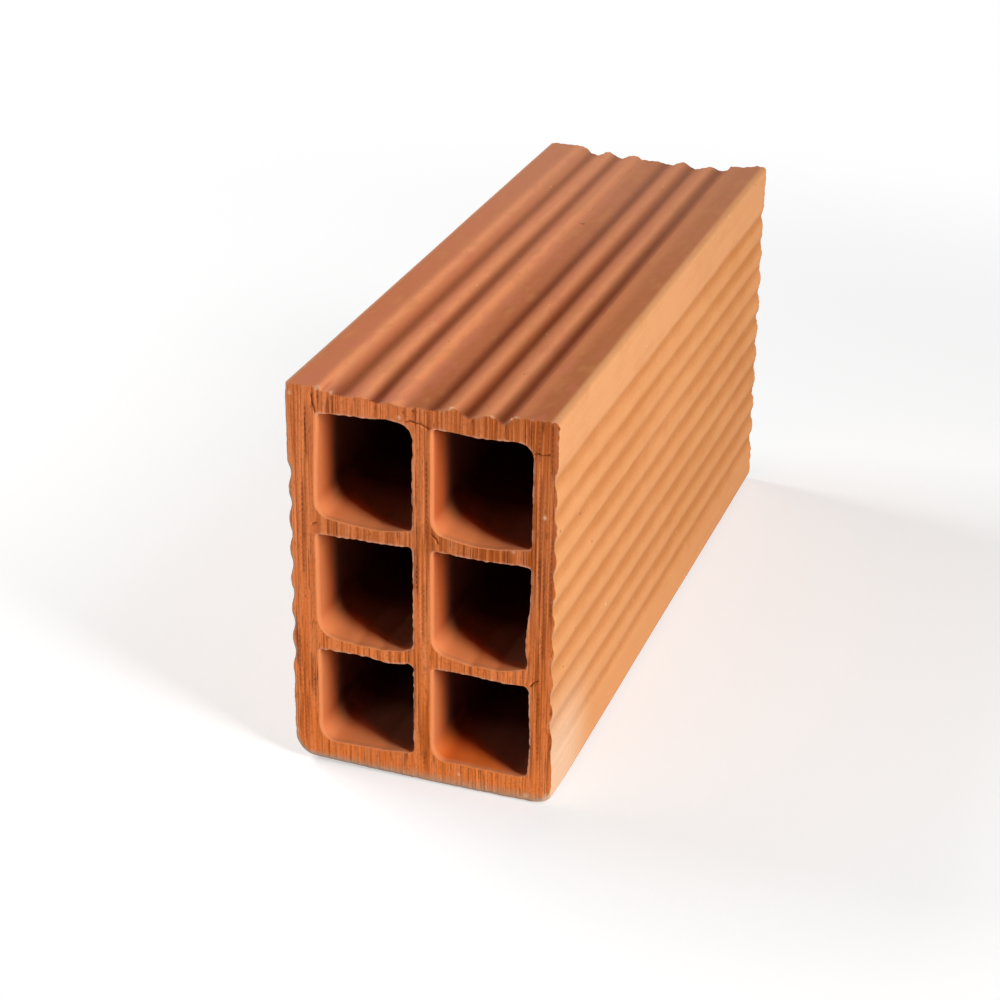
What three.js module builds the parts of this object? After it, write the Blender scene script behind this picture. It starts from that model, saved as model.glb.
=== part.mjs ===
// A hollow clay brick. Stiff clay is pushed through a die, which forms the six cells, the ribbed
// flanks and the combed roof in one go. A wire then cuts the column into bricks, which are dried
// and fired, so the whole brick is one piece.
//
// Millimetres, +Z up. X runs across the brick and Y along its cells. The origin is the middle of
// the bed, the flat face that the brick stands on.

import * as THREE from 'three';

// ---- along the die ------------------------------------------------------------------------
const length = 240; // from one cut end to the other
const endArris = 0.7; // rounding of every edge of a cut end

// ---- cells: two columns, three rows -------------------------------------------------------
const cellWidth = 29;
const bottomCellHeight = 29; // heights are taken at a cell's right-hand corner
const middleCellHeight = 32;
const topCellHeight = 31.6;
const bottomFloorSag = 1; // how far the soft floor sank in its middle
const middleFloorSag = 2.6;
const topFloorSag = 0.8;
const slumpRadius = 4.5; // lower left corner, where the clay slumped
const crispRadius = 1.4; // the other corners
const topShoulderRadius = 4.5; // upper right corner of the top row

// ---- walls and webs -----------------------------------------------------------------------
const leftWall = 8.5;
const rightWall = 7.5;
const bedWall = 9;
const roofWall = 7.6;
const centreWeb = 6; // upright, between the columns
const rowWeb = 5.4; // level, between the rows

// ---- outer corners ------------------------------------------------------------------------
const bedLeftRadius = 6.5;
const bedRightRadius = 3;
const roofRightRadius = 2.2;
const roofLeftRadius = 1.5;

// ---- flanks: ribs that key the plaster ----------------------------------------------------
const ribPitch = 9.5;
const ribDepth = 1.1;
const ribSharpness = 3; // over 2 makes the valleys narrower than the ribs
const roofLandHeight = 13.5; // plain band under each roof edge
const bedLandLeast = 2; // least plain band over the bedside corners
const ribSteps = 8;

// ---- roof: combed with grooves that hold the mortar ---------------------------------------
const combPitch = 9.2;
const combDepth = 2.7;
const ridgeDrop = 1.1; // the ridges stay this far below the plain bands
const middleDrop = 2.2; // the ridge over the centre web is left out, down to here
const roofLandLeast = 10; // least width of the plain band along each roof edge
const combSteps = 8;

const arcSteps = 3;

const rows = [
  { height: bottomCellHeight, sag: bottomFloorSag, shoulder: crispRadius },
  { height: middleCellHeight, sag: middleFloorSag, shoulder: crispRadius },
  { height: topCellHeight, sag: topFloorSag, shoulder: topShoulderRadius },
];

const width = leftWall + cellWidth + centreWeb + cellWidth + rightWall;
const height = rows.reduce((sum, row) => sum + row.height, bedWall + roofWall)
  + rowWeb * (rows.length - 1);
const halfWidth = width / 2;

// A smooth valley across one pitch: 0 at both crests and 1 in the middle.
const valley = (share, sharpness = 2) => Math.abs(Math.sin(Math.PI * share)) ** sharpness;

// Points up one flank from the bed to the roof; side is 1 on the right and -1 on the left.
function flankPoints(side) {
  const foot = Math.max(bedLeftRadius, bedRightRadius) + bedLandLeast;
  const head = height - roofLandHeight;
  const ribCount = Math.floor((head - foot) / ribPitch);
  const points = [];
  for (let step = 0; step <= ribCount * ribSteps; step += 1) {
    const share = step / ribSteps;
    const x = halfWidth - ribDepth * valley(share, ribSharpness);
    points.push(new THREE.Vector2(side * x, head - (ribCount - share) * ribPitch));
  }
  return points;
}

// Points across the roof from right to left, with grooves in pairs either side of the middle.
function roofPoints() {
  const groovesPerSide = Math.floor((halfWidth - roofLandLeast) / combPitch);
  const reach = groovesPerSide * combSteps;
  const points = [];
  for (let step = reach; step >= -reach; step -= 1) {
    const share = Math.abs(step) / combSteps;
    let crestDrop = ridgeDrop;
    if (share < 0.5) crestDrop = middleDrop;
    if (share > groovesPerSide - 0.5) crestDrop = 0;
    const drop = crestDrop + (combDepth - crestDrop) * valley(share);
    points.push(new THREE.Vector2((step / combSteps) * combPitch, height - drop));
  }
  return points;
}

function lineThrough(path, points) {
  points.forEach((point) => path.lineTo(point.x, point.y));
}

function brickOutline() {
  const quarter = Math.PI / 2;
  const shape = new THREE.Shape();
  shape.moveTo(-halfWidth + bedLeftRadius, 0);
  shape.absarc(halfWidth - bedRightRadius, bedRightRadius, bedRightRadius, -quarter, 0);
  lineThrough(shape, flankPoints(1));
  shape.absarc(
    halfWidth - roofRightRadius, height - roofRightRadius, roofRightRadius, 0, quarter,
  );
  lineThrough(shape, roofPoints());
  shape.absarc(
    -halfWidth + roofLeftRadius, height - roofLeftRadius, roofLeftRadius, quarter, 2 * quarter,
  );
  lineThrough(shape, flankPoints(-1).reverse());
  shape.absarc(
    -halfWidth + bedLeftRadius, bedLeftRadius, bedLeftRadius, 2 * quarter, 3 * quarter,
  );
  return shape;
}

// One cell, whose lower right-hand corner is at the height of its floor line.
function cellPath(left, floor, { height: cellHeight, sag, shoulder }) {
  const quarter = Math.PI / 2;
  const right = left + cellWidth;
  const ceiling = floor + cellHeight;
  const path = new THREE.Path();
  path.moveTo(left + slumpRadius, floor);
  path.quadraticCurveTo((left + right) / 2, floor - 2 * sag, right - crispRadius, floor);
  path.absarc(right - crispRadius, floor + crispRadius, crispRadius, -quarter, 0);
  path.absarc(right - shoulder, ceiling - shoulder, shoulder, 0, quarter);
  path.absarc(left + crispRadius, ceiling - crispRadius, crispRadius, quarter, 2 * quarter);
  path.absarc(left + slumpRadius, floor + slumpRadius, slumpRadius, 2 * quarter, 3 * quarter);
  return path;
}

function brickSection() {
  const section = brickOutline();
  let floor = bedWall;
  rows.forEach((row) => {
    const leftCell = -halfWidth + leftWall;
    const rightCell = leftCell + cellWidth + centreWeb;
    section.holes.push(cellPath(leftCell, floor, row), cellPath(rightCell, floor, row));
    floor += row.height + rowWeb;
  });
  return section;
}

function hollowBrick() {
  const geometry = new THREE.ExtrudeGeometry(brickSection(), {
    depth: length - 2 * endArris,
    curveSegments: arcSteps,
    bevelThickness: endArris,
    bevelSize: endArris,
    bevelOffset: -endArris,
    bevelSegments: 2,
  });
  geometry.translate(0, 0, endArris - length / 2);
  const firedClay = new THREE.MeshStandardMaterial({
    color: '#c97a4a',
    roughness: 0.9,
    metalness: 0,
  });
  const brick = new THREE.Mesh(geometry, firedClay);
  brick.name = 'hollow_brick';
  brick.rotation.x = Math.PI / 2; // the section is drawn upright, so its depth turns to lie along Y
  return brick;
}

const model = new THREE.Group();
model.add(hollowBrick());

export default model;
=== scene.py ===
import math

import bpy
import numpy as np
from mathutils import Euler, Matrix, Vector, noise
from mathutils.geometry import delaunay_2d_cdt
from mathutils.kdtree import KDTree


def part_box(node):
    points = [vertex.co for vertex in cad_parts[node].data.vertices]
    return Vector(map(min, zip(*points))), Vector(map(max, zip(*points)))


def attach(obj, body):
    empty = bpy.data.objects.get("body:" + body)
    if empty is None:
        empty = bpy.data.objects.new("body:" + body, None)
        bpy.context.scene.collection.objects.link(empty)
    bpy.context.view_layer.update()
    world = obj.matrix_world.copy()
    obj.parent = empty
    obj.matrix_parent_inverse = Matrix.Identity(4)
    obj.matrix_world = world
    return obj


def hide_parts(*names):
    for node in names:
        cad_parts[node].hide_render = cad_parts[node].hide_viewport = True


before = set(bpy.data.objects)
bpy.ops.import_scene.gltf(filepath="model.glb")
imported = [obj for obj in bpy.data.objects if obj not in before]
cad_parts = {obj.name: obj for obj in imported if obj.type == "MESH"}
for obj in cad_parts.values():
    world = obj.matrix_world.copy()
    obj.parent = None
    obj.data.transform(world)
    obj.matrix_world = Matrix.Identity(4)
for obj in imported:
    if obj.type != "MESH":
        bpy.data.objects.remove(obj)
scene = bpy.context.scene
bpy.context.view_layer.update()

# ------------------------------------------------------------
# The column of clay. Stiff clay leaves the die as one endless column whose section has the six
# cells, the ribbed flanks and the combed roof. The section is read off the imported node, and it
# is softened a little, because wet clay keeps no corner quite sharp.

MM = 0.001

brick_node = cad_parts["hollow_brick"]
brick_low, brick_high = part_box("hollow_brick")
half_width = brick_high.x
half_length = brick_high.y
brick_height = brick_high.z

ring_spacing = 0.5 * MM
softening_rounds = 1
turning_rounds = 14
same_level = 0.01 * MM
seed_shift = Vector((17.3, 5.1, 9.7))  # each seed reads the noise at another place


def section_rings(node):
    """The node's closed outlines across its cells, as rings of (x, z) points, tallest first."""
    places = np.array([v.co for v in node.data.vertices])
    level = places[places[:, 1] > 0, 1].min()
    on_level = np.abs(places[:, 1] - level) < same_level
    names = [tuple(p) for p in np.round(places[:, [0, 2]] / MM, 3)]
    beside = {}
    for edge in node.data.edges:
        a, b = edge.vertices
        if on_level[a] and on_level[b] and names[a] != names[b]:
            beside.setdefault(names[a], set()).add(names[b])
            beside.setdefault(names[b], set()).add(names[a])
    rings = []
    while beside:
        here = min(beside)
        ring = []
        while here in beside:
            ring.append(here)
            ahead = [n for n in beside.pop(here) if n in beside]
            # the first step may go either way round, so it takes the lesser neighbour
            here = min(ahead) if len(ring) == 1 else (ahead or [None])[0]
        rings.append(np.array(ring) * MM)
    return sorted(rings, key=lambda ring: -np.ptp(ring[:, 1]))


def turned_left(ring):
    """The ring with its points running anticlockwise, seen with x to the right and z up."""
    ahead = np.roll(ring, -1, axis=0)
    area = np.sum(ring[:, 0] * ahead[:, 1] - ahead[:, 0] * ring[:, 1])
    return ring if area > 0 else ring[::-1]


def evenly_spaced(ring, spacing):
    """Points about that far apart along the closed ring."""
    closed = np.vstack([ring, ring[:1]])
    steps = np.hypot(*np.diff(closed, axis=0).T)
    along = np.concatenate([[0], steps.cumsum()])
    count = round(along[-1] / spacing)
    places = np.arange(count) * along[-1] / count
    return np.column_stack([np.interp(places, along, closed[:, k]) for k in (0, 1)])


def softened(ring, rounds):
    """The ring after each point has moved toward its neighbours so many times."""
    for _ in range(rounds):
        ring = (np.roll(ring, 1, axis=0) + 2 * ring + np.roll(ring, -1, axis=0)) / 4
    return ring


def facing(ring):
    """Unit vectors square to an anticlockwise ring, pointing out of it."""
    along = np.roll(ring, -1, axis=0) - np.roll(ring, 1, axis=0)
    across = np.column_stack([along[:, 1], -along[:, 0]])
    return across / np.linalg.norm(across, axis=1)[:, None]


def facing_softly(ring):
    """The same, turning more slowly round the corners."""
    across = softened(facing(ring), turning_rounds)
    return across / np.linalg.norm(across, axis=1)[:, None]


def wander(places, size, seed):
    """Smooth noise from about -1 to 1 at each place, its bumps about that size apart."""
    shift = seed_shift * seed
    along_x, along_y, along_z = size if hasattr(size, "__len__") else (size, size, size)
    return np.array([
        noise.noise(Vector((x / along_x, y / along_y, z / along_z)) + shift)
        for x, y, z in places
    ])


def rise(values, low, high):
    """0 below low, 1 above high, and smooth in between."""
    share = np.clip((values - low) / (high - low), 0, 1)
    return share * share * (3 - 2 * share)


def fall(values, low, high):
    """1 below low, 0 above high, and smooth in between."""
    return rise(-values, -high, -low)


# where the cells' walls swelled or sagged, in millimetres: x, z, reach, and the shift along both
cell_dents = [
    (-31.5, 112, 15, 0.9, 0), (-29, 112.4, 5, 0, -0.5), (-9, 110, 5, 0, 0.7),
    (18, 112.5, 9, 0, -0.7), (-12, 84, 9, 0, -1.1), (17, 86, 11, 0, -1.3),
    (-28, 75.6, 10, 0, -0.7), (32.5, 51, 9, -1.3, 0), (-26.5, 44.5, 4, 0, -1.1),
    (-15.5, 45, 6, 0, 0.6), (-6.5, 44, 3.5, 0, -0.9), (8.5, 45.5, 4, 0, -0.9),
    (20.5, 45, 6.5, 0, 1.2), (27, 38.2, 9, 0, -0.6), (-11, 35, 4.5, 0, -1.3),
    (21, 33, 6, 0, -0.7), (32.6, 20, 7, 0.4, 0), (-27.5, 10.5, 6, 0, -1.2),
    (6.5, 10.5, 4.5, 0, -1.0), (28.5, 10, 4.5, 0, -0.8),
]


def dented(ring):
    """A cell's ring with its swells and sags."""
    moved = ring.copy()
    for x, z, reach, swell, sag in cell_dents:
        near = np.exp(-np.sum((ring / MM - (x, z))**2, axis=1) / reach**2)
        moved += near[:, None] * np.array([swell, sag]) * MM
    return moved


rings = []
for number, die_ring in enumerate(section_rings(brick_node)):
    ring = softened(evenly_spaced(turned_left(die_ring), ring_spacing), softening_rounds)
    rings.append(dented(ring) if number else ring)

# ------------------------------------------------------------
# Out of true. Handling and drying pull the soft column a little askew: the flanks draw in, the
# ribs are smeared out near the front, and the comb is deeper and to one side where the wire cut
# the column off.

# the flanks: how much is left of the die's ribs, and how far each flank draws in
rib_crest = 40 * MM
rib_depth = 1.1 * MM
left_rib_share = 0.82
right_rib_share = 0.75
left_draw = 0.05 * MM
left_land_out = 0.2 * MM
right_draw = 0.25 * MM
flank_skin = (38 * MM, 38.5 * MM)
flank_foot = (3 * MM, 9 * MM)
flank_head = (117 * MM, 118 * MM)
land_foot = (93.5 * MM, 96.5 * MM)

# the ribs are smeared out low down, close to the front
left_smear_share = 0.8
left_smear_head = (22 * MM, 36 * MM)
right_smear_share = 0.8
right_smear_head = (10 * MM, 27 * MM)
right_smear_reach = 30 * MM

# the lower edges in front: the right corner knocked off, the bed's left side curled up
corner_worn = 0.8 * MM
corner_worn_reach = 6 * MM
bed_rise = 0.9 * MM
bed_rise_reach = 60 * MM
bed_rise_across = (-38 * MM, 15 * MM)
bed_rise_up = (2 * MM, 16 * MM)

# the die keeps the land's upper left corner sharper than the other three
corner_radius = 2 * MM
corner_x, corner_z = 19, 59  # its centre, in radii
corner_share = 0.95

# the comb as the die made it: its depths below the lands, and its reach
die_ridge = 1.1 * MM
die_middle = 2.2 * MM
die_groove = 2.7 * MM
comb_foot = (115 * MM, 116 * MM)
comb_sides = (34 * MM, 38 * MM)
middle_left = (-7 * MM, -6 * MM)
middle_right = (-3 * MM, 0)

# where its ridges and grooves stand across the roof, and their depths in front and behind
ridge_places = np.array([-18.4, -9.2, 9.2, 18.4]) * MM
ridge_depths = np.array([(1.7, 1.7, 0.5, 1.4), (1.0, 1.1, 1.6, 2.4)]) * MM
groove_places = np.array([-23.0, -13.8, 4.6, 13.8, 23.0]) * MM
groove_depths = np.array([(3.3, 3.3, 3.0, 3.8, 3.1), (2.8, 3.0, 3.3, 3.8, 3.4)]) * MM

# the plain lands beside it: the right one falls inward, and the left one has a step in front
land_edge = 20 * MM
right_land_fall = 1.3 * MM
right_land_slope = (28 * MM, 38.5 * MM)
bench_depth = 2.0 * MM
bench_step = (-30.8 * MM, -28.6 * MM)

# the wire took some of the left ridges' height off, and drew the comb's front edge up
worn_share = 0.45
worn_reach = 2 * MM
worn_from = (-27 * MM, -24 * MM)
wire_places = np.array([-28, -23, -13.8, -1, 4.6, 9.2, 13.8, 18.4, 23, 27]) * MM
wire_lifts = [0.50, 0.56, 0.42, 0.34, 0.44, 0.60, 0.32, 0.32, 0.24, 0.85]
wire_reach = 4 * MM

# how far the comb stands to the right in front
askew_reach = 14 * MM
left_half = (-5 * MM, 5 * MM)
comb_sway = 1.0 * MM
wire_sway = 0.4 * MM
comb_lean = 0.2  # a ridge leans this share of its height
leaning_ridges = (22 * MM, 25 * MM)
edge_shifts = (1.8 * MM, 0.8 * MM)  # the left land's edge, in front and behind
edge_place = -27.2 * MM
edge_width = 3.5 * MM
last_ridge_sway = 0.9 * MM
last_ridge = (14 * MM, 18 * MM)
right_land = (24 * MM, 28 * MM)
right_land_held = 0.7


def near_front(y, reach):
    """1 at the front end, and fading to 0 behind it."""
    return np.exp(-(y + half_length) / reach)


def between_ends(ends, share):
    """The value at that share of the way from the first end to the second."""
    return ends[0] + (ends[1] - ends[0]) * share


def smeared_away(ring, y):
    """How much of the right flank's ribs is smeared out at one place along the brick."""
    low_right = (ring[:, 0] > 0) * (1 - rise(ring[:, 1], *right_smear_head))
    return right_smear_share * low_right * near_front(y, right_smear_reach)


def flank_draw(ring, y):
    """How far each flank lies inside the die's section at one place along the brick."""
    x, z = ring.T
    ribbed = 1 - rise(z, *land_foot)
    on_flank = rise(np.abs(x), *flank_skin) * rise(z, *flank_foot) * fall(z, *flank_head)
    smeared = near_front(y, askew_reach) * (1 - rise(z, *left_smear_head))
    left_share = left_rib_share * (1 - left_smear_share * smeared) * ribbed
    share = np.where(x > 0, right_rib_share * (1 - smeared_away(ring, y)), left_share)
    left_in = left_draw * ribbed - left_land_out * (1 - ribbed)
    draw = np.where(x > 0, right_draw * (1 - ribbed), left_in)
    return on_flank * ((share - 1) * np.clip(rib_crest - np.abs(x), 0, rib_depth) + draw)


def worn_foot(x, z, y):
    """The lower edges, with the right corner knocked off and the bed's left side curled up."""
    past_corner = np.clip(1 - (rib_crest - x + z) / corner_worn_reach, 0, 1)
    knocked = corner_worn * past_corner * near_front(y, corner_worn_reach)
    x = x - knocked
    z = z + knocked
    curled = fall(x, *bed_rise_across) * fall(z, *bed_rise_up)
    return x, z + bed_rise * curled * near_front(y, bed_rise_reach)


def sharp_corner(x, z):
    """The upper left corner, drawn out toward the point that its round cuts off."""
    past_x, past_z = -x / corner_radius - corner_x, z / corner_radius - corner_z
    in_corner = (past_x > 0) & (past_z > 0)
    sharper = np.where(in_corner, 1 / np.maximum(np.maximum(past_x, past_z), 0.5)**corner_share, 1)
    return (np.where(in_corner, -corner_radius * (corner_x + past_x * sharper), x),
            np.where(in_corner, corner_radius * (corner_z + past_z * sharper), z))


def comb_depth(x, die_depth, y):
    """How deep the roof lies below the lands, from the depth that the die gave it."""
    askew = near_front(y, askew_reach)
    ridge = between_ends([np.interp(x, ridge_places, side) for side in ridge_depths], 1 - askew)
    groove = between_ends([np.interp(x, groove_places, side) for side in groove_depths], 1 - askew)
    below_ridge = (die_depth - die_ridge) / (die_groove - die_ridge)
    depth = np.where(die_depth < die_ridge, die_depth / die_ridge * ridge,
                     ridge + below_ridge * (groove - ridge))
    sunk = right_land_fall * fall(x, *right_land_slope) * (x > land_edge)
    bench = bench_depth * askew * rise(x, *bench_step) * (x < -land_edge)
    depth = np.maximum(np.maximum(depth, sunk), bench)
    worn = worn_share * fall(x, *left_half) * near_front(y, worn_reach)
    depth += worn * np.clip(groove - depth, 0, None) * rise(x, *worn_from)
    return depth * (1 - np.interp(x, wire_places, wire_lifts) * near_front(y, wire_reach))


def comb_shift(x, die_depth, y):
    """How far to the right the roof's points stand of where the die left them."""
    askew = near_front(y, askew_reach)
    stand = np.clip(die_groove - die_depth, 0, None) * fall(np.abs(x), *leaning_ridges)
    near_edge = np.exp(-((x - edge_place) / edge_width)**2)
    edge_shift = between_ends(edge_shifts, 1 - askew) * near_edge
    sway = fall(x, *left_half) * (comb_sway * askew + comb_lean * stand - edge_shift)
    held = 1 - right_land_held * rise(x, *right_land)
    sway += last_ridge_sway * rise(x, *last_ridge) * held
    return sway + wire_sway * near_front(y, wire_reach)


def out_of_true(ring, y):
    """The outer ring as it is at one place along the brick."""
    x, z = sharp_corner(*worn_foot(ring[:, 0], ring[:, 1], y))
    in_comb = rise(z, *comb_foot) * fall(np.abs(x), *comb_sides)
    on_middle = rise(x, *middle_left) * fall(x, *middle_right)
    die_depth = brick_height - z
    die_depth = die_depth - on_middle * np.clip(die_depth - die_middle, 0, None)
    drop = brick_height - comb_depth(x, die_depth, y) - z
    shift = comb_shift(x, die_depth, y)
    return np.column_stack([x - np.sign(x) * flank_draw(ring, y) + in_comb * shift,
                            z + in_comb * drop])


# ------------------------------------------------------------
# The wire-cut ends. A taut wire drawn upright through the column tears the stiff clay: it
# leaves fine upright drag lines, a few deep scores and cracks, and ragged lips round the cells.
# The outer arrises are rubbed off in handling.

FRONT, BACK = -1, 1

# the cut face: its mean depth below the node's end, and the wire's lines in it
end_setback = 0.3 * MM
least_setback = 0.05 * MM
drag_depth = 0.15 * MM
drag_size = (1.1 * MM, 1, 30 * MM)
swell_depth = 0.12 * MM
swell_size = (7 * MM, 1, 30 * MM)
cut_seeds = {FRONT: 3, BACK: 8}

# deep scores on the front end: x, lower z and upper z in millimetres
score_depth = 0.4 * MM
score_width = 0.24 * MM
score_taper = 3 * MM
score_bend = 0.25 * MM
score_bend_size = (1, 1, 14 * MM)
front_scores = [
    (-37.9, 22, 44), (-36.6, 5, 33), (-35.8, 60, 92), (-34.2, 96, 116), (-33.3, 20, 31),
    (-31.9, 111, 121), (-30.4, 113, 120), (-4.9, 113, 119), (-1.3, 60, 72), (-2.2, 22, 40),
    (0.6, 45, 66), (2.1, 110, 119), (1.6, 76, 104), (3.0, 14, 27), (34.0, 106, 121),
    (34.8, 70, 104), (35.2, 14, 38), (36.3, 46, 80), (37.7, 102, 121), (38.4, 58, 90),
    (39.2, 14, 34), (14.9, 113, 119), (21.8, 114, 119), (-13.3, 113.5, 119), (-15.0, 75, 79),
    (31.5, 111, 120), (-2.1, 113.5, 120), (-36.6, 117, 121), (0.8, 4, 12), (3.6, 5, 11),
]
back_scores = [(-x, low + 5, high - 3) for x, low, high in front_scores[::2]]

# cracks opened in drying, as chains of (x, z) in millimetres
crack_depth = 0.7 * MM
crack_half_width = 0.28 * MM
crack_step = 0.35 * MM
front_cracks = [
    [(-4.4, 113.3), (-2.8, 113.8), (-1.4, 113.3), (0.0, 113.4), (1.2, 112.7), (2.6, 112.2)],
    [(-32.4, 117.4), (-31.8, 114.6), (-31.2, 112.4)],
    [(3.4, 80.4), (4.6, 79.4), (5.2, 77.9)],
    [(33.0, 38.2), (34.1, 39.6), (35.4, 40.4)],
    [(-31.4, 78.4), (-33.0, 77.6)],
    [(32.2, 109.4), (33.6, 109.8), (34.8, 109.5), (36.8, 109.9)],
]
back_cracks = [[(-x, z) for x, z in crack] for crack in front_cracks[::3]]

# chips knocked off the front arrises: x, z, reach and depth in millimetres
front_chips = [
    (-39.5, 119.5, 1.6, 0.4), (-7.0, 118.6, 1.4, 0.6), (-31.0, 119.6, 0.7, 0.4),
    (8.4, 119.9, 0.8, 0.3), (39.6, 91.5, 0.8, 0.3), (39.4, 104.0, 0.6, 0.25),
    (39.5, 62.0, 0.9, 0.3), (39.6, 0.6, 2.6, 1.0), (-3.0, 80.2, 0.9, 0.5),
    (-4.0, 37.8, 0.8, 0.5), (33.4, 111.0, 0.9, 0.4),
]

# pale crumbs that still cling to the front: x, z and reach in millimetres
front_crumbs = [
    (-30.2, 119.6, 0.6), (-26.2, 118.8, 0.5), (9.0, 119.8, 0.6), (26.0, 119.1, 0.4),
    (27.4, 119.7, 0.4), (20.6, 118.8, 0.4), (11.6, 4.9, 0.4), (32.3, 2.0, 0.6),
    (38.4, 3.4, 0.5), (36.2, 91.3, 0.5), (-38.6, 117.0, 0.4), (-6.2, 114.4, 0.4),
    (27.4, 79.6, 0.4),
]


def on_end(places):
    """Places on an end as points in space, for its noise."""
    return np.column_stack([places[:, 0], np.zeros(len(places)), places[:, 1]])


def closeness(places, x, z, reach):
    """1 at (x, z), and fading to 0 around it; all three are in millimetres."""
    off = np.hypot(places[:, 0] / MM - x, places[:, 1] / MM - z) / reach
    return np.exp(-off**2)


def crumbs_at(places, end):
    """How much of each place on an end is a pale crumb, from 0 to 1."""
    share = np.zeros(len(places))
    for x, z, reach in front_crumbs if end == FRONT else []:
        share = np.maximum(share, closeness(places, x, z, reach))
    return share


def chips_at(places, end):
    """How much further an end's edges are rounded where a chip came off."""
    depth = np.zeros(len(places))
    for x, z, reach, loss in front_chips if end == FRONT else []:
        depth = np.maximum(depth, loss * MM * closeness(places, x, z, reach))
    return depth


def scored(places, end):
    """How deep the wire's grit scored a cut end at places on it, from 0 to 1."""
    share = np.zeros(len(places))
    for x, bottom, top in front_scores if end == FRONT else back_scores:
        bend = score_bend * wander(on_end(places), score_bend_size, x)
        off = np.abs(places[:, 0] - x * MM - bend) / score_width
        inside = np.minimum(places[:, 1] - bottom * MM, top * MM - places[:, 1]) / score_taper
        share = np.maximum(share, np.exp(-off**2) * np.clip(inside, 0, 1))
    return share


def cut_depth(places, end):
    """How far a cut end lies behind its node's end, at places on it."""
    fine = wander(on_end(places), drag_size, cut_seeds[end])
    broad = wander(on_end(places), swell_size, cut_seeds[end] + 1)
    depth = end_setback - drag_depth * fine - swell_depth * broad
    return np.clip(depth + score_depth * scored(places, end), least_setback, None)


# the noise along an end's rims: the size of its bumps, for each kind of wear
rim_seeds = {FRONT: 20, BACK: 40}
worn_size = 6 * MM
chip_size = 2.6 * MM
tear_sizes = (1.3 * MM, 3.4 * MM)
crumb_size = 1.2 * MM

# the arrises: how far every one is rounded, and how much more where it met wear of each kind
outer_round = 0.06 * MM
outer_worn = 0.10 * MM
outer_chipped = 0.5 * MM
outer_crumbled = 0.7 * MM
foot_rubbed = 0.9 * MM
flank_spared = 0.6  # the upright arrises lose this share less to chips and crumbs
cell_round = 0.15 * MM
cell_worn = 0.15 * MM
cell_chipped = 0.3 * MM
cell_pressed = 0.4 * MM
low_left_across = (-40 * MM, -20 * MM)
low_left_up = (0, 16 * MM)

# the burrs that the wire drags out of an edge, and the crumbs that stand on it
front_burr = 0.30 * MM
back_burr = 0.40 * MM
burr_lost = 0.12 * MM
cell_burr = 0.05 * MM
ragged_burr = 0.30 * MM
crumb_stand = 0.3 * MM
back_crumbling = 1.8  # times as crumbly as in front


def rim_noise(ring, end):
    """Along one ring at a cut end: how worn, chipped, torn and crumbly it is."""
    flat = on_end(ring)
    seed = rim_seeds[end]
    worn = 0.5 + 0.5 * wander(flat, worn_size, seed)
    chipped = np.clip(wander(flat, chip_size, seed + 1) - 0.30, 0, 1)
    fine_tear = wander(flat, tear_sizes[0], seed + 2)
    tear = fine_tear * 0.9 + wander(flat, tear_sizes[1], seed + 3) * 0.5
    crumbly = np.clip(wander(flat, crumb_size, seed + 4) - 0.1, 0, 1)
    return worn, chipped, tear, crumbly * (1 if end == FRONT else back_crumbling)


def outer_arris(ring, air, end):
    """The outline's rounding at a cut end, how far it is dragged, and how torn and dusty it is."""
    worn, chipped, tear, crumbly = rim_noise(ring, end)
    leftward, downward, upward = (np.clip(a, 0, 1) for a in (-air[:, 0], -air[:, 1], air[:, 1]))
    low_left = fall(ring[:, 0], *low_left_across) * fall(ring[:, 1], *low_left_up)
    kept = 1 - flank_spared * np.abs(air[:, 0])
    rounding = (outer_round + outer_worn * worn
                + (outer_chipped * chipped + outer_crumbled * crumbly) * kept
                + foot_rubbed * (downward + low_left) + chips_at(ring, end))
    burr = front_burr * upward if end == FRONT else back_burr
    dragged = burr * tear - burr_lost * np.abs(tear) + crumb_stand * crumbs_at(ring, end)
    torn = np.clip(0.8 * crumbly, 0, 0.4)
    dusty = np.clip(0.7 * leftward + 0.6 * low_left + 0.8 * downward, 0, 1)
    return rounding, dragged, torn, dusty


def cell_arris(ring, air, end):
    """The same for a cell: torn ragged along its ceiling and its right-hand wall, and pressed
    round along its left-hand one."""
    worn, chipped, tear, _ = rim_noise(ring, end)
    leftward, rightward, downward = (np.clip(a, 0, 1) for a in (-air[:, 0], air[:, 0], -air[:, 1]))
    ragged = np.clip(downward + leftward, 0, 1)
    rounding = (cell_round + cell_worn * worn + cell_chipped * chipped
                + cell_pressed * rightward + chips_at(ring, end))
    dragged = (cell_burr + ragged_burr * ragged) * tear + crumb_stand * crumbs_at(ring, end)
    torn = ragged * np.clip(0.55 + 1.8 * tear, 0, 1)
    return rounding, dragged, torn, np.zeros(len(ring))


# how the walls are divided along the brick: in millimetres from each end, then in even steps
near_end = [1.1, 1.7, 2.6, 4.2, 7.0]
near_gap = 0.2 * MM  # the least room between them, behind a deep chip
most_inset = 1.3 * MM
arris_turns = (1.0, 0.5, 0.0)  # shares of a quarter turn, from the cut to the wall
outside_step = 7.5 * MM
inside_step = 38 * MM

# how uneven the walls are: torn close to the cuts, a little wavy, and faintly lined by the die
tear_reach = 0.7 * MM
waviness = 0.12 * MM
wave_size = 38 * MM
wave_seed = 51
die_line = 0.03 * MM
die_line_size = (2.4 * MM, 160 * MM, 2.4 * MM)
die_line_seed = 53


def wall_rows(step):
    """Places along the brick, between the rows close to its two ends."""
    first = -half_length + near_end[-1] * MM
    return np.linspace(first, -first, round(-2 * first / step) + 1)


vertices = []
faces = []
finishes = []  # each face's material: the die's skin, the cut ends or the cells
SKIN, CUT, CELL = range(3)

# what the finishes are told about each point, as shares from 0 to 1
# two marks paint light: shade in the comb's grooves, between the ribs and in cracks and scores,
# and a highlight along the comb's ridges
marks = {"torn": [], "dusty": [], "crumb": [], "hollow": [], "rubbed": [], "floor": []}
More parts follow.
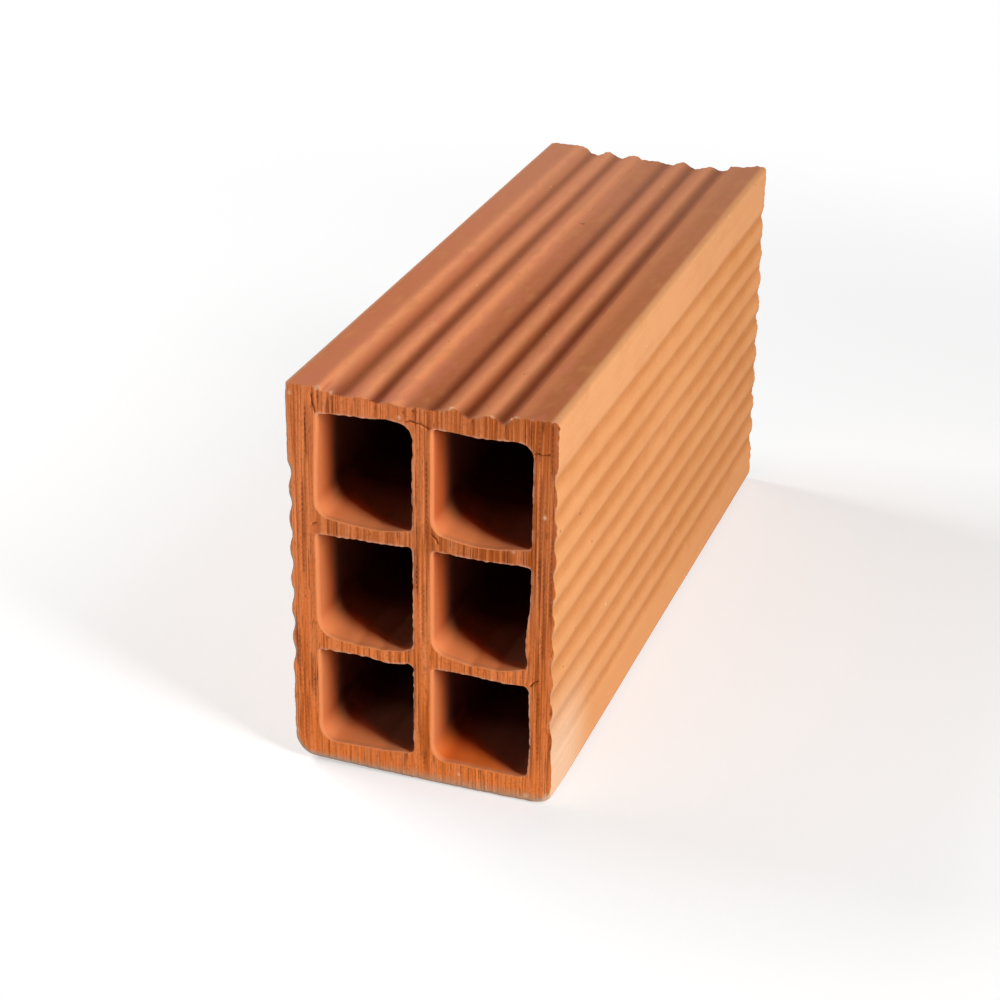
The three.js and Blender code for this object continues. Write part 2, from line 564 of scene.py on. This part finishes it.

# the comb's grooves, where painted shade darkens the roof, and its ridges, where a painted
# highlight lightens clay partly rubbed paler: x in millimetres and strength
roof_foot = 116 * MM
painted_groove_shade = [(-24.2, 0.58), (-14.2, 0.88), (3.4, 1.0), (12.8, 0.95), (22.3, 1.0)]
rubbed_ridges = [(-28.2, 1.0), (-18.4, 0.9), (-8.4, 0.9), (9.5, 0.75), (18.4, 0.9), (28.0, 0.3)]
groove_sides = (2.0 * MM, 1.5 * MM)  # how wide they fade out, to the left and to the right
ridge_sides = (2.4 * MM, 2.4 * MM)
pale_behind = 0.6
dark_in_front = 0.5
dark_reach = 12 * MM


def add_points(places, **shares):
    """Adds points with their marks, and returns their numbers."""
    first = sum(len(v) for v in vertices)
    vertices.append(places)
    for name, values in marks.items():
        values.append(np.broadcast_to(shares.get(name, 0.0), len(places)))
    return np.arange(first, first + len(places))


def along_comb(x, lines, sides):
    """How near each x is to the comb's lines, each a place in millimetres and a strength."""
    near = np.zeros(len(x))
    for middle, strength in lines:
        off = x - middle * MM
        side = np.where(off < 0, *sides)
        near = np.maximum(near, strength * np.exp(-(off / side)**2))
    return near


def rows_at_end(ring, is_outside, end):
    """A wall's rows from one cut back to the plain wall, each a y and an inset, and its rim."""
    side = 1 if is_outside else -1
    here = out_of_true(ring, end * half_length) if is_outside else ring
    air = side * facing(here)
    rounding, dragged, torn, dusty = (outer_arris if is_outside else cell_arris)(here, air, end)
    inset = np.minimum(rounding, most_inset)
    edge = here + air * dragged[:, None] - side * facing_softly(here) * inset[:, None]
    cut = end * (half_length - cut_depth(edge, end))
    rows = []
    for turn in arris_turns:
        behind = rounding * (1 - math.sin(turn * math.pi / 2))
        rows.append((cut - end * behind, inset * (1 - math.cos(turn * math.pi / 2))))
    arris_end = half_length - np.abs(rows[-1][0])
    for number, distance in enumerate(near_end[:-1]):
        behind = np.maximum(distance * MM, arris_end + (number + 1) * near_gap)
        rows.append((end * (half_length - behind), 0.0))
    return rows, {"cut": cut, "dragged": dragged, "torn": torn, "dusty": dusty,
                  "crumb": crumbs_at(here, end)}


# the share of painted shade that the skin gets in the comb's grooves and between the ribs
def hollow_at(ring, y, is_outside):
    """How deep the wall's points lie in the comb's grooves, or between the ribs, from 0 to 1."""
    x, z = ring.T
    paler = pale_behind * (y / half_length + 1) / 2 - dark_in_front * near_front(y, dark_reach)
    paler = paler * fall(x, *left_half)
    in_groove = along_comb(x, painted_groove_shade, groove_sides)
    between_ribs = np.clip((rib_crest - np.abs(x)) / rib_depth, 0, 1)
    ribs = between_ribs * (1 - smeared_away(ring, y.mean()))
    on_top = z > roof_foot
    return np.where(on_top, np.clip(in_groove * (1 - paler), 0, 1), ribs) * is_outside


def add_wall(ring, is_outside):
    """Adds one wall of the column, and returns its rings of vertex numbers at both cut ends."""
    side = 1 if is_outside else -1
    front_rows, front_rim = rows_at_end(ring, is_outside, FRONT)
    back_rows, back_rim = rows_at_end(ring, is_outside, BACK)
    step = outside_step if is_outside else inside_step
    middle_rows = [(np.full(len(ring), y), 0.0) for y in wall_rows(step)]
    on_top = is_outside & (ring[:, 1] > roof_foot)
    # a painted highlight along the comb's ridges, on clay partly rubbed paler
    rubbed = along_comb(ring[:, 0], rubbed_ridges, ridge_sides) * on_top
    numbers = []
    for y, inset in front_rows + middle_rows + back_rows[::-1]:
        here = out_of_true(ring, y) if is_outside else ring
        air = side * facing(here)
        places = np.column_stack([here[:, 0], y, here[:, 1]])
        offset = waviness * (wander(places, wave_size, wave_seed) - 0.5)
        offset += die_line * wander(places, die_line_size, die_line_seed)
        shares = {"torn": 0, "dusty": 0, "crumb": 0}
        for rim in (front_rim, back_rim):
            fade = np.exp(-np.abs(y - rim["cut"]) / tear_reach)
            offset += rim["dragged"] * fade
            for name, reached in ("torn", fade**2), ("dusty", fade), ("crumb", fade):
                shares[name] = shares[name] + rim[name] * reached
        moved = here + air * offset[:, None]
        moved -= side * facing_softly(here) * np.reshape(inset, (-1, 1))
        numbers.append(add_points(np.column_stack([moved[:, 0], y, moved[:, 1]]),
                                  hollow=hollow_at(ring, y, is_outside), rubbed=rubbed,
                                  floor=np.clip(air[:, 1], 0, 1) * (not is_outside), **shares))
    for near, far in zip(numbers[:-1], numbers[1:]):
        quads = np.column_stack([near, np.roll(near, -1), np.roll(far, -1), far])
        faces.extend((quads[:, ::-1] if is_outside else quads).tolist())
        finishes.extend([SKIN if is_outside else CELL] * len(quads))
    return numbers[0], numbers[-1]


def inside_ring(ring, places):
    """True for each (x, z) place within the ring."""
    ahead = np.roll(ring, -1, axis=0)
    x, z = places[:, 0][:, None], places[:, 1][:, None]
    spans = (ring[None, :, 1] > z) != (ahead[None, :, 1] > z)
    with np.errstate(divide="ignore", invalid="ignore"):
        slope = (ahead[:, 0] - ring[:, 0]) / (ahead[:, 1] - ring[:, 1])
        crossing = ring[None, :, 0] + (z - ring[None, :, 1]) * slope
    return np.sum(spans & (x < crossing), axis=1) % 2 == 1


def in_clay(outlines, places):
    """True for each place in the brick's outline and in none of its cells."""
    clay = inside_ring(outlines[0], places)
    for outline in outlines[1:]:
        clay &= ~inside_ring(outline, places)
    return clay


def crack_lines(cracks):
    """Points along the cracks and along both their lips, each with its depth."""
    lines = []
    for crack in cracks:
        for (x0, z0), (x1, z1) in zip(crack[:-1], crack[1:]):
            length = math.hypot(x1 - x0, z1 - z0) * MM
            for share in np.arange(0.5 * crack_step, length, crack_step) / length:
                x, z = x0 + (x1 - x0) * share, z0 + (z1 - z0) * share
                side = crack_half_width / length
                for lip in (-1, 0, 1):
                    lines.append((x * MM - lip * side * (z1 - z0) * MM,
                                  z * MM + lip * side * (x1 - x0) * MM,
                                  0 if lip else crack_depth))
    return np.array(lines)


def near_points(flat):
    """A search tree over (x, z) places."""
    tree = KDTree(len(flat))
    for number, (x, z) in enumerate(flat):
        tree.insert((x, 0, z), number)
    tree.balance()
    return tree


# the points that fill a cut end: closer together across the drag lines than along them
lattice_across = 0.3 * MM
lattice_up = 1.6 * MM
lattice_margin = 0.30 * MM
collar = 0.45 * MM  # a ring of points this far into the clay from every rim
torn_margin = 1.2 * collar
scored_share = 0.85
merge_distance = 1e-6


def end_lattice(outlines, end):
    """Points over a cut end, and how much deeper than the cut each lies in a crack."""
    across = np.arange(-half_width, half_width, lattice_across)
    up = np.arange(0, brick_height, lattice_up)
    lattice = np.array([(x, z + (column % 2) * lattice_up / 2)
                        for column, x in enumerate(across) for z in up])
    collars = np.vstack([outline - facing(outline) * collar * (1 if number == 0 else -1)
                         for number, outline in enumerate(outlines)])
    lattice = np.vstack([lattice, collars])
    cracked = crack_lines(front_cracks if end == FRONT else back_cracks)
    crack_tree = near_points(cracked[:, :2])
    off_crack = np.array([crack_tree.find((x, 0, z))[2] for x, z in lattice])
    lattice = lattice[off_crack > crack_half_width]
    deeper = np.concatenate([np.zeros(len(lattice)), cracked[:, 2]])
    return np.vstack([lattice, cracked[:, :2]]), deeper


def add_end(ring_numbers, end):
    """Closes one cut end with a fine lattice that meets the walls' own rims."""
    points = np.vstack(vertices)
    outlines = [points[numbers][:, [0, 2]] for numbers in ring_numbers]
    rim = np.vstack(outlines)
    rim_numbers = np.concatenate(ring_numbers)
    lattice, deeper = end_lattice(outlines, end)
    rim_tree = near_points(rim)
    found = [rim_tree.find((x, 0, z)) for x, z in lattice]
    gap = np.array([distance for _, _, distance in found])
    kept = in_clay(outlines, lattice) & (gap > lattice_margin)
    lattice, deeper, gap = lattice[kept], deeper[kept], gap[kept]
    nearest = rim_numbers[[number for (_, number, _), keep in zip(found, kept) if keep]]
    fade = np.clip(1 - gap / torn_margin, 0, 1)
    torn, dusty = (np.concatenate(marks[name])[nearest] * fade for name in ("torn", "dusty"))
    y = end * (half_length - cut_depth(lattice, end) - deeper)
    # painted shade in the cracks and the deep scores
    hollow = np.maximum(deeper / crack_depth, scored_share * scored(lattice, end))
    fresh = add_points(np.column_stack([lattice[:, 0], y, lattice[:, 1]]), torn=torn,
                       dusty=dusty, hollow=hollow, crumb=crumbs_at(lattice, end))
    flat = np.vstack([rim, lattice])
    numbers = np.concatenate([rim_numbers, fresh])
    edges = []
    for outline in outlines:
        first = len(edges)
        count = len(outline)
        edges += [(first + k, first + (k + 1) % count) for k in range(count)]
    cut_up = delaunay_2d_cdt([Vector(p / MM) for p in flat], edges, [], 0, merge_distance)
    met, corners, origin = cut_up[0], np.array(cut_up[2]), cut_up[3]
    source = np.array([o[0] for o in origin])
    centres = np.array([v[:] for v in met])[corners].mean(axis=1) * MM
    corners = corners[in_clay(outlines, centres)]
    found = numbers[source[corners]]
    faces.extend((found if end == FRONT else found[:, ::-1]).tolist())
    finishes.extend([CUT] * len(found))


# ------------------------------------------------------------
# The dried brick, one piece of clay from end to end. Its outside, its cells and its two cut ends
# meet along their rims. The whole leans a little to the left, just inside its node's box.

lean = 0.65 * MM
front_held = 0.8  # how much less its upper right edge leans in front
held_reach = 60 * MM
keep_in = 0.01 * MM

front_rims, back_rims = zip(*[add_wall(ring, number == 0) for number, ring in enumerate(rings)])
add_end(front_rims, FRONT)
add_end(back_rims, BACK)

points = np.vstack(vertices)
leaning = (points[:, 0] / half_width + points[:, 2] / brick_height * 2 - 1) / 2
held = front_held * near_front(points[:, 1], held_reach)
leaning *= 1 - held * np.clip(leaning, 0, 1)
points[:, 0] -= lean * leaning
least = np.array(brick_low) + (keep_in, keep_in, 0)
points = np.clip(points, least, np.array(brick_high) - keep_in)

brick_mesh = bpy.data.meshes.new("fired_hollow_brick")
brick_mesh.from_pydata(points.tolist(), [], faces)
brick_mesh.polygons.foreach_set("material_index", finishes)
brick_mesh.polygons.foreach_set("use_smooth", [True] * len(faces))
for name, values in marks.items():
    layer = brick_mesh.attributes.new(name, "FLOAT", "POINT")
    layer.data.foreach_set("value", np.concatenate(values))
brick_mesh.validate()
brick_mesh.update()

# ------------------------------------------------------------
# Fired clay. The kiln turns the iron in the clay orange: smooth and paler where the die pressed
# it, redder and darker on the roof (partly painted shade), and deeper and rougher where the wire
# tore it open.


class Socket:
    """One value in a material's nodes; sums written with it add the Math nodes."""

    def __init__(self, tree, output=None):
        self.tree = tree
        self.output = output

    def add(self, kind, settings=None, inputs=None, output=0):
        """A new node: first its settings, then the values or links of its sockets."""
        node = self.tree.nodes.new(kind)
        for name, value in (settings or {}).items():
            setattr(node, name, value)
        for name, value in (inputs or {}).items():
            if isinstance(value, Socket):
                self.tree.links.new(value.output, node.inputs[name])
            else:
                node.inputs[name].default_value = value
        return Socket(self.tree, node.outputs[output] if len(node.outputs) else None)

    def math(self, operation, *values):
        """A Math node on these values."""
        return self.add("ShaderNodeMath", {"operation": operation}, dict(enumerate(values)))

    def __add__(self, other):
        return self.math("ADD", self, other)

    def __radd__(self, other):
        return self.math("ADD", other, self)

    def __sub__(self, other):
        return self.math("SUBTRACT", self, other)

    def __rsub__(self, other):
        return self.math("SUBTRACT", other, self)

    def __mul__(self, other):
        return self.math("MULTIPLY", self, other)

    def __rmul__(self, other):
        return self.math("MULTIPLY", other, self)

    def size(self):
        """This value without its sign."""
        return self.math("ABSOLUTE", self)

    def between(self, low, high):
        """0 where this is at low, 1 where it is at high, and smooth in between."""
        return self.add("ShaderNodeMapRange", {"interpolation_type": "SMOOTHSTEP"},
                        {"Value": self, "From Min": low, "From Max": high})

    def swing(self, most):
        """A noise that is about 0.5 on average, as that share of most above or below 0."""
        return (self - 0.5) * most

    def mixed(self, colour, other):
        """colour where this is 0, and other where it is 1."""
        return self.add("ShaderNodeMix", {"data_type": "RGBA"},
                        {0: self, 6: colour, 7: other}, output=2)

    def grain(self, x, y, z, detail=3, roughness=0.5):
        """Noise at this place, about 0.5 on average; its lumps are x, y and z millimetres long."""
        per_lump = (1 / (x * MM), 1 / (y * MM), 1 / (z * MM))
        stretched = self.add("ShaderNodeVectorMath", {"operation": "MULTIPLY"},
                             {0: self, 1: per_lump})
        return self.add("ShaderNodeTexNoise", {}, {
            "Vector": stretched, "Scale": 1.0, "Detail": detail, "Roughness": roughness})


class Clay:
    """A clay finish: its material, its shader, and the places and marks its nodes read."""

    def __init__(self, name):
        self.material = bpy.data.materials.new(name)
        self.material.use_nodes = True
        self.tree = self.material.node_tree
        self.shader = self.tree.nodes["Principled BSDF"]
        self.place = Socket(self.tree).add("ShaderNodeTexCoord", output=3)
        parts = [self.place.add("ShaderNodeSeparateXYZ", inputs={0: self.place}, output=k)
                 for k in range(3)]
        self.x, self.y, self.z = parts

    def mark(self, name):
        """One of the marks that the mesh carries at its points."""
        return self.place.add("ShaderNodeAttribute", {"attribute_name": name}, output=2)

    def relief(self, *layers):
        """One bump on another; each layer is a height from 0 to 1, and its depth in metres."""
        normal = None
        for height, depth in layers:
            inputs = {"Distance": depth, "Height": height}
            if normal:
                inputs["Normal"] = normal
            normal = height.add("ShaderNodeBump", {}, inputs)
        return normal

    def feed(self, **values):
        """Sets or links the shader's sockets, named with _ for a space."""
        for name, value in values.items():
            socket = self.shader.inputs[name.replace("_", " ")]
            if isinstance(value, Socket):
                self.tree.links.new(value.output, socket)
            else:
                socket.default_value = value


flank_pale = (0.700, 0.305, 0.114, 1)
flank_valley_shade = (0.540, 0.195, 0.052, 1)
land_pale = (0.710, 0.322, 0.134, 1)
roof_red = (0.610, 0.190, 0.078, 1)
roof_brown = (0.510, 0.162, 0.051, 1)
roof_mid = (0.480, 0.132, 0.038, 1)
roof_groove_shade = (0.218, 0.035, 0.003, 1)
roof_ochre = (0.640, 0.245, 0.080, 1)
roof_pink = (0.640, 0.180, 0.105, 1)
ridge_highlight = (0.910, 0.330, 0.137, 1)
far_end_sheen = (0.610, 0.290, 0.172, 1)
bloom_white = (0.840, 0.600, 0.420, 1)
torn_pale = (0.800, 0.420, 0.270, 1)
crumb_cream = (0.930, 0.620, 0.360, 1)
rim_dust = (0.540, 0.390, 0.290, 1)
speck_dark = (0.300, 0.110, 0.045, 1)

# the die's skin: drawn along the brick, so its faint streaks run that way
skin = Clay("clay_die_skin")
mottle = skin.place.grain(30, 60, 30, 4, 0.55)
streaks = skin.place.grain(2.2, 120, 2.2, 3, 0.55)
grit = skin.place.grain(0.8, 0.8, 0.8, 3, 0.6)
on_roof = skin.z.between(112 * MM, 114 * MM)
on_roof = on_roof * (1 - skin.x.between(36.6 * MM, 38.2 * MM))
on_roof = on_roof * (1 - skin.x.between(-39.3 * MM, -39.8 * MM))
hollow = skin.mark("hollow")
blotches = skin.place.grain(5, 11, 5, 4, 0.65)
tone_noise = mottle.swing(1.1) + blotches.swing(0.7) + streaks.swing(0.5) + grit.swing(0.5)

# the flanks: paler on the plain land, and darker between the ribs with painted shade
flank = skin.z.between(98 * MM, 106 * MM).mixed(flank_pale, land_pale)
flank = (hollow * 0.8 - tone_noise).between(-0.15, 1.05).mixed(flank, flank_valley_shade)

# the roof: browner and darker toward the right, partly painted shade, with random mottling;
# painted shade on its sunken middle and in its grooves, a painted highlight along its ridges on
# clay partly rubbed paler, and a painted sheen that greys it toward the far end
# browner and darker toward the right: partly painted shade
roof = (skin.x.between(-20 * MM, 32 * MM) + mottle.swing(0.9)).mixed(roof_red, roof_brown)
middle = skin.x.between(-7 * MM, -3 * MM) * skin.x.between(4 * MM, 1 * MM)
front_side = skin.x.between(-14 * MM, 4 * MM) * skin.y.between(-70 * MM, -118 * MM)
# painted shade on the comb's sunken middle, and darker in front over it and just left of it
roof = ((middle + front_side) * 0.6 + blotches.swing(0.9)).mixed(roof, roof_mid)
# a painted highlight along the ridges, on clay partly rubbed paler
roof = (skin.mark("rubbed") * 0.95 - tone_noise * 0.35).mixed(roof, ridge_highlight)
tint = skin.place.grain(6, 15, 6, 3, 0.55)
roof = (tint.between(0.52, 0.68) * 0.40).mixed(roof, roof_ochre)
roof = (tint.between(0.48, 0.32) * 0.35).mixed(roof, roof_pink)
# painted shade in the comb's grooves
roof = (hollow * 0.95 - tone_noise * 0.25).mixed(roof, roof_groove_shade)
# a painted sheen that greys the roof toward the far end
roof = (skin.y.between(-60 * MM, 140 * MM) * 0.45).mixed(roof, far_end_sheen)
worn_edge = skin.x.between(-38.6 * MM, -39.6 * MM) * skin.z.between(116.5 * MM, 118.5 * MM)
roof = (worn_edge * 0.6).mixed(roof, rim_dust)
colour = on_roof.mixed(flank, roof)

# both: the rubbed lower corner in front, specks of iron and lime, and dust on what broke off
low_corner = (skin.x.between(34 * MM, 38 * MM) * skin.y.between(-76 * MM, -112 * MM)
              * skin.z.between(42 * MM, 10 * MM))
rubbed_pale = 0.62 + streaks.swing(0.6) + mottle.swing(0.4)
colour = (low_corner * rubbed_pale).mixed(colour, bloom_white)
specks = skin.place.grain(3.5, 3.5, 3.5, 1, 0.5)
colour = specks.between(0.79, 0.82).mixed(colour, speck_dark)
pale_specks = skin.place.grain(3.0, 3.4, 3.0, 1, 0.4)
colour = (pale_specks.between(0.20, 0.17) * 0.4).mixed(colour, bloom_white)
colour = (skin.mark("dusty") * 0.85).mixed(colour, rim_dust)
colour = (skin.mark("torn") * 0.5).mixed(colour, torn_pale)
colour = (skin.mark("crumb") * 0.9).mixed(colour, crumb_cream)
skin.feed(Base_Color=colour, Roughness=0.78 + mottle * 0.2, Specular_IOR_Level=0.3,
          Normal=skin.relief((streaks, 0.06 * MM), (grit, 0.09 * MM)))

# the torn clay of the cut ends: its drag lines run upright
cut_upper = (0.765, 0.204, 0.060, 1)
cut_lower = (0.850, 0.205, 0.038, 1)
cut_darker = (0.430, 0.088, 0.010, 1)
cut_dark = (0.250, 0.050, 0.012, 1)
cut_pale = (0.860, 0.270, 0.088, 1)
cut_bounce_lit = (0.960, 0.245, 0.046, 1)
bed_dust = (0.620, 0.315, 0.170, 1)

cut = Clay("clay_wire_cut")
fine_lines = cut.place.grain(0.7, 4, 30, 1, 0.4)
score_lines = cut.place.grain(2.2, 4, 200, 1, 0.3)
score_share = cut.place.grain(3.0, 4, 12, 1, 0.4)
dashes = cut.place.grain(0.7, 4, 4, 1, 0.4)
broad = cut.place.grain(3.0, 10, 60, 2, 0.5)
grit = cut.place.grain(0.6, 0.6, 0.9, 2, 0.6)
mottle = cut.place.grain(12, 20, 16, 3, 0.5)
scores = (score_lines - 0.5).size().between(0.030, 0.010) * score_share.between(0.46, 0.62)

# brighter toward the bed, partly painted light bounced up off the floor, and darker up on the
# right, on the right wall and on the upper web
colour = cut.z.between(85 * MM, 15 * MM).mixed(cut_upper, cut_lower)
# painted light: a pool of light bounced up off the floor, low on the cut face
low_edge = cut.x.between(-10 * MM, 20 * MM) * cut.z.between(18 * MM, 7 * MM)
colour = low_edge.mixed(colour, cut_bounce_lit)
upper_right = cut.x.between(-20 * MM, 26 * MM) * cut.z.between(45 * MM, 105 * MM)
right_wall = cut.x.between(28 * MM, 34 * MM) * cut.z.between(6 * MM, 14 * MM)
row_web = (cut.x.size().between(33 * MM, 30 * MM) * cut.z.between(71 * MM, 76 * MM)
           * cut.z.between(85 * MM, 80 * MM))
darker = upper_right * 0.92 + right_wall * 0.30 + row_web * 0.40
colour = (darker + mottle.swing(0.8)).mixed(colour, cut_darker)

# the wire's lines, from the broadest to the finest; they are fainter close over the bed
colour = (broad.between(0.45, 0.62) * 0.40).mixed(colour, cut_pale)
colour = (broad.between(0.44, 0.30) * 0.45).mixed(colour, cut_darker)
colour = (fine_lines.between(0.52, 0.62) * 0.46).mixed(colour, cut_pale)
crisp = cut.z.between(2 * MM, 16 * MM) * 0.5 + 0.5
colour = (crisp * fine_lines.between(0.46, 0.34) * 0.60).mixed(colour, cut_darker)
colour = (crisp * dashes.between(0.34, 0.28) * 0.45).mixed(colour, cut_dark)
colour = (crisp * scores * 0.76).mixed(colour, cut_dark)
colour = (grit.between(0.50, 0.30) * 0.25).mixed(colour, cut_dark)

# what the mesh marks: painted shade in the scores and cracks, dust, torn rims and crumbs,
# and the bed's own dust
colour = (cut.mark("hollow") * 0.9).mixed(colour, cut_dark)
colour = (cut.z.between(4.5 * MM, 1.2 * MM) * 0.75).mixed(colour, bed_dust)
colour = (cut.mark("dusty") * 0.9).mixed(colour, rim_dust)
colour = (cut.mark("torn") * 0.75).mixed(colour, torn_pale)
colour = (cut.mark("crumb") * 0.9).mixed(colour, crumb_cream)
cut.feed(Base_Color=colour, Roughness=0.88 + mottle * 0.1, Specular_IOR_Level=0.2,
         Normal=cut.relief((1 - scores, 0.20 * MM), (fine_lines, 0.20 * MM), (grit, 0.10 * MM)))

# the cells' walls, smoothed by the die's cores, with painted shade that darkens them further in
cell_orange = (0.660, 0.185, 0.060, 1)
cell_floor = (0.910, 0.290, 0.098, 1)
cell_shade_red = (0.540, 0.110, 0.026, 1)
cell_low = (0.830, 0.170, 0.024, 1)
cell_mouth_highlight = (0.740, 0.250, 0.092, 1)
cell_floor_shade = (0.240, 0.175, 0.135, 1)
cell_deep_shade = (0.150, 0.041, 0.017, 1)

cell = Clay("clay_cell_wall")
mottle = cell.place.grain(10, 30, 10, 3, 0.5)
grit = cell.place.grain(0.9, 0.9, 0.9, 3, 0.6)
inward = cell.y.size()
right_side = cell.x.between(-4 * MM, 4 * MM)

# painted shade: walls and ceilings turn redder and dimmer behind the mouth and in the upper
# right-hand cells, and darken further in
wall_shade = (inward.between(117.5 * MM, 109.0 * MM) * 0.85
          + right_side * cell.z.between(40 * MM, 70 * MM) * 0.8)
wall = wall_shade.mixed(cell_orange, cell_shade_red)
wall = (inward.between(111.5 * MM, 103.5 * MM) + mottle.swing(0.3)).mixed(wall, cell_deep_shade)

# painted shade: floors darken to the right within each cell and further in
floor = (right_side * cell.z.between(45 * MM, 30 * MM)).mixed(cell_floor, cell_low)
across = (cell.x.between(-31.5 * MM, -3 * MM) * (1 - right_side)
          + cell.x.between(4 * MM, 32 * MM))
floor_shade = (across + inward.between(119.5 * MM, 100.0 * MM)).between(0.74, 1.22)
floor = (floor_shade * 0.85).mixed(floor, cell_floor_shade)
floor = (inward.between(99.5 * MM, 88.0 * MM) + mottle.swing(0.3)).mixed(floor, cell_deep_shade)
colour = cell.mark("floor").mixed(wall, floor)
# a painted highlight along the cells' mouths
colour = (inward.between(117.2 * MM, 118.6 * MM) * 0.8).mixed(colour, cell_mouth_highlight)
colour = (cell.mark("torn") * 0.8).mixed(colour, torn_pale)
cell.feed(Base_Color=colour, Roughness=0.9, Specular_IOR_Level=0.2,
          Normal=cell.relief((mottle, 0.10 * MM), (grit, 0.05 * MM)))

for finish in (skin, cut, cell):
    brick_mesh.materials.append(finish.material)
brick = bpy.data.objects.new("fired_hollow_brick", brick_mesh)
scene.collection.objects.link(brick)
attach(brick, "root")
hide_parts("hollow_brick")

# ------------------------------------------------------------
# The floor. A wide sheet of white card, lit like the brick; it keeps the brick's soft shadow,
# and away from it the camera sees plain white.

floor_reach = 6.0
floor_drop = 0.2 * MM  # keeps it clear of the bed
card_white = (0.62, 0.62, 0.62, 1)
seen_glow = 0.52
seen_share = (0.55, 0.55, 0.55, 1)
near_brick, far_off = 0.25, 0.55  # where the shadow's look gives way to plain white

floor_mesh = bpy.data.meshes.new("studio_floor")
floor_corners = [(-floor_reach, -floor_reach, 0), (floor_reach, -floor_reach, 0),
                 (floor_reach, floor_reach, 0), (-floor_reach, floor_reach, 0)]
floor_mesh.from_pydata(floor_corners, [], [(0, 1, 2, 3)])
floor = bpy.data.objects.new("studio_floor", floor_mesh)
scene.collection.objects.link(floor)
floor.location.z = -floor_drop

card = bpy.data.materials.new("white_card")
card.use_nodes = True
card.node_tree.nodes.clear()
sheet = Socket(card.node_tree)
place = sheet.add("ShaderNodeTexCoord", output=3)
far = sheet.add("ShaderNodeVectorMath", {"operation": "LENGTH"}, {0: place}, output=1)
plain = sheet.add("ShaderNodeBsdfDiffuse", {}, {"Color": card_white})
shown = sheet.add("ShaderNodeBsdfDiffuse", {}, {"Color": seen_share})
glow = sheet.add("ShaderNodeEmission", {}, {"Color": (1, 1, 1, 1), "Strength": seen_glow})
near_look = sheet.add("ShaderNodeAddShader", {}, {0: shown, 1: glow})
white = sheet.add("ShaderNodeEmission", {}, {"Color": (1, 1, 1, 1), "Strength": 1.0})
look = sheet.add("ShaderNodeMixShader", {},
                 {0: far.between(near_brick, far_off), 1: near_look, 2: white})
seen = sheet.add("ShaderNodeLightPath", output=0)
whole = sheet.add("ShaderNodeMixShader", {}, {0: seen, 1: plain, 2: look})
sheet.add("ShaderNodeOutputMaterial", {}, {0: whole})
floor_mesh.materials.append(card)

# ------------------------------------------------------------
# The light. A broad lamp low on the right lights the ribbed flank full on, and one from the left
# rakes the comb; a tall narrow one reaches into the cells' mouths, and a faint one faces the cut.


def soft_lamp(name, toward, height, distance, size, power):
    """A lamp that looks at the brick, that many metres off; toward is its bearing in degrees,
    from +X round to the front, and height its angle above the floor."""
    middle = Vector((0, 0, brick_height / 2))
    bearing, climb = math.radians(toward), math.radians(height)
    level = distance * math.cos(climb)
    spot = Vector((level * math.cos(bearing), -level * math.sin(bearing),
                   distance * math.sin(climb)))
    lamp = bpy.data.lights.new(name, "AREA")
    lamp.shape = "RECTANGLE"
    lamp.size, lamp.size_y = size
    lamp.energy = power
    holder = bpy.data.objects.new(name, lamp)
    holder.location = middle + spot
    holder.rotation_euler = (-spot).to_track_quat("-Z", "Y").to_euler()
    scene.collection.objects.link(holder)


soft_lamp("key_lamp", 16, 9, 1.10, (0.35, 0.18), 6.10)
soft_lamp("left_lamp", 188, 39, 0.90, (0.40, 0.40), 6.30)
soft_lamp("tall_lamp", 31, 32, 1.10, (0.18, 0.90), 7.85)
soft_lamp("front_lamp", 110, 0, 0.80, (0.30, 0.10), 1.15)

room = bpy.data.worlds.new("pale_room")
room.use_nodes = True
scene.world = room
sky = Socket(room.node_tree)
seen = sky.add("ShaderNodeLightPath", output=0)
backdrop = room.node_tree.nodes["Background"]
backdrop.inputs["Color"].default_value = (1, 1, 1, 1)
room.node_tree.links.new(seen.output, backdrop.inputs["Strength"])

# ------------------------------------------------------------
# The camera, a little above the brick and to its right, looking down its cells. Its lens is a
# long one, so the far end looks nearly as wide as the near one.

view_bearing = math.radians(18.602)
view_height = math.radians(25.430)
view_roll = math.radians(-0.924)
view_distance = 779.0 * MM
view_target = Vector((-12.62, -13.76, 41.36)) * MM
lens_mm = 86.80

camera_data = bpy.data.cameras.new("camera")
camera_data.lens = lens_mm
camera = bpy.data.objects.new("camera", camera_data)
scene.collection.objects.link(camera)
level = math.cos(view_height)
camera.location = view_target + view_distance * Vector((
    math.sin(view_bearing) * level, -math.cos(view_bearing) * level, math.sin(view_height)))
camera.rotation_mode = "XYZ"
aim = Euler((math.pi / 2 - view_height, 0, view_bearing)).to_matrix()
turn = Euler((0, 0, -view_roll)).to_matrix()
camera.rotation_euler = (aim @ turn).to_euler()
scene.camera = camera

scene.view_settings.view_transform = "Standard"
